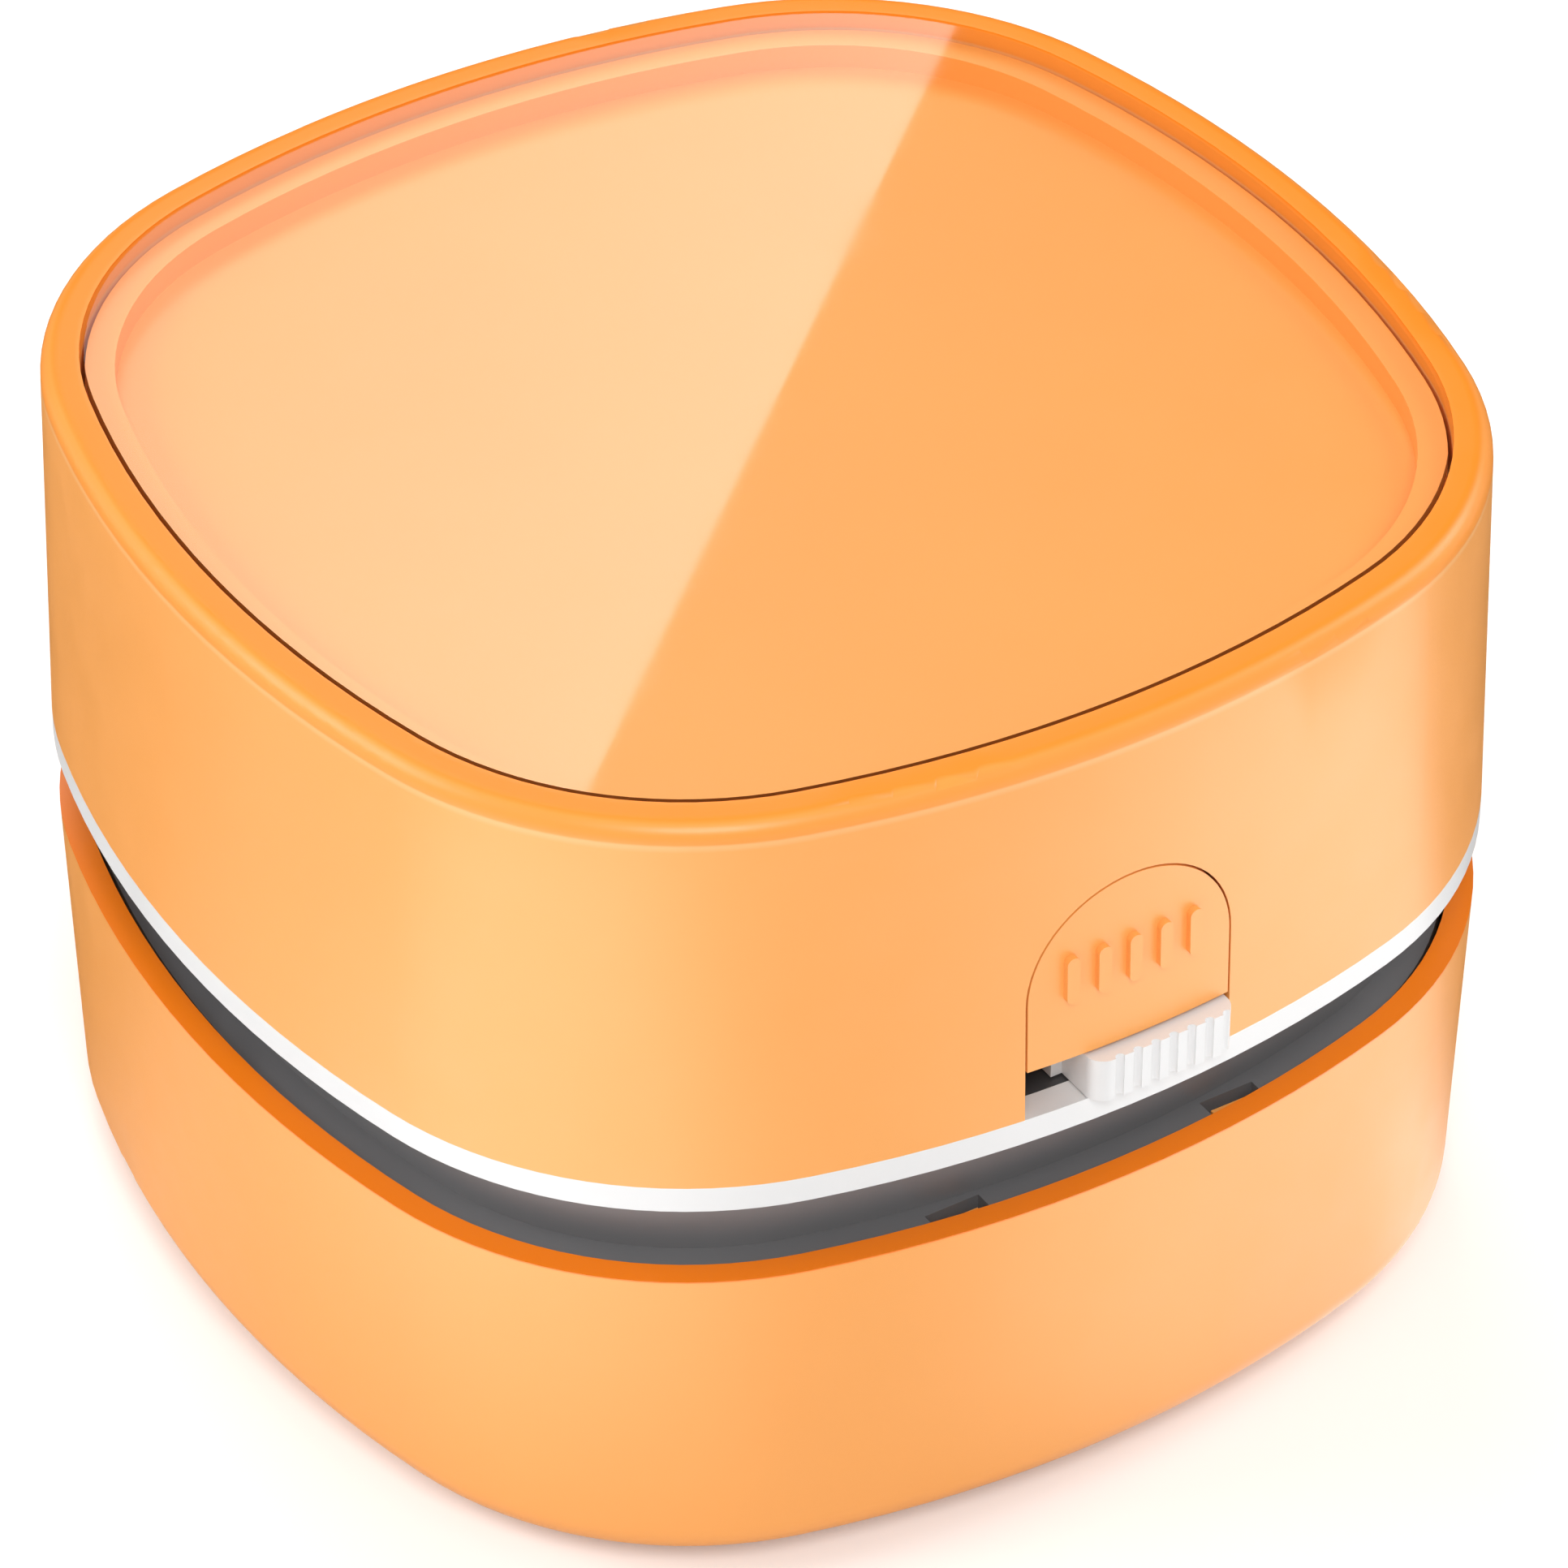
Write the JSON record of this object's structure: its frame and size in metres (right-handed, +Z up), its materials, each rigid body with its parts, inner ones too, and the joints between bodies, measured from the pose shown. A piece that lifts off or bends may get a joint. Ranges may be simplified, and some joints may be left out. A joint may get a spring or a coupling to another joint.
{
  "type": "desktop mini vacuum cleaner",
  "caption": "Square battery desk vacuum: a motor unit with push button, slide switch and lift-off cover stands on a dust cup with a brushed suction mouth.",
  "frame": {"origin": "on the table, at the middle of the square footprint", "axes": "+Z up; -Y is the front with the push button and the slide switch; +X is the right-hand side seen from the front"},
  "size_m": [0.0842, 0.0851, 0.0597],
  "materials": {
    "orange_shell": "satin",
    "dark_gloss": "gloss",
    "dark_plastic": "matte",
    "dark_rubber": "matte",
    "pale_plastic": "satin",
    "nylon_bristle": "satin",
    "filter_cloth": "matte",
    "steel": "satin",
    "plated_contact": "gloss",
    "bush_brass": "satin",
    "cell_sleeve": "gloss",
    "clear_panel": "gloss"
  },
  "bodies": {
    "dust_cup": {"lower_housing": "orange_shell", "glide_feet": "dark_rubber", "brush_holder": "dark_plastic", "bristles": "nylon_bristle"},
    "motor_unit": {"fan_housing": "dark_gloss", "face_seal": "dark_rubber", "filter_frame": "pale_plastic", "filter_media": "filter_cloth", "trim_ring": "pale_plastic", "motor_deck": "dark_plastic", "upper_housing": "orange_shell", "pivot_pin": "steel", "return_spring": "steel", "battery_cradle": "dark_plastic", "battery_cell_left": "cell_sleeve", "battery_cell_right": "cell_sleeve", "contact_plates": "plated_contact", "contact_springs": "plated_contact", "motor_can": "steel", "motor_end_cap": "dark_plastic", "motor_bush": "bush_brass", "motor_screws": "steel", "housing_screws": "steel", "switch_body": "dark_plastic"},
    "fan_rotor": {"motor_shaft": "steel", "impeller": "pale_plastic"},
    "switch": {"switch_knob": "pale_plastic", "switch_slider": "dark_plastic"},
    "button": {"release_button": "orange_shell"},
    "top_cover": {"cover_tray": "orange_shell", "cover_panel": "clear_panel"}
  },
  "joints": [
    {"name": "motor_unit_lift", "type": "slide", "parent": "dust_cup", "child": "motor_unit", "axis": [0, 0, 1], "range_m": [0, 0.03]},
    {"name": "fan_spin", "type": "hinge", "parent": "motor_unit", "child": "fan_rotor", "pos_m": [0, 0, 0.025], "axis": [0, 0, 1], "continuous": true},
    {"name": "switch_slide", "type": "slide", "parent": "motor_unit", "child": "switch", "axis": [-1, 0, 0], "range_m": [0, 0.004]},
    {"name": "button_press", "type": "hinge", "parent": "motor_unit", "child": "button", "pos_m": [0, -0.0366, 0.0465], "axis": [1, 0, 0], "range_deg": [0, 3], "stiffness_Nm_per_rad": 0.05, "deforming": ["return_spring"]},
    {"name": "cover_lift", "type": "slide", "parent": "motor_unit", "child": "top_cover", "axis": [0, 0, 1], "range_m": [0, 0.02]}
  ]
}
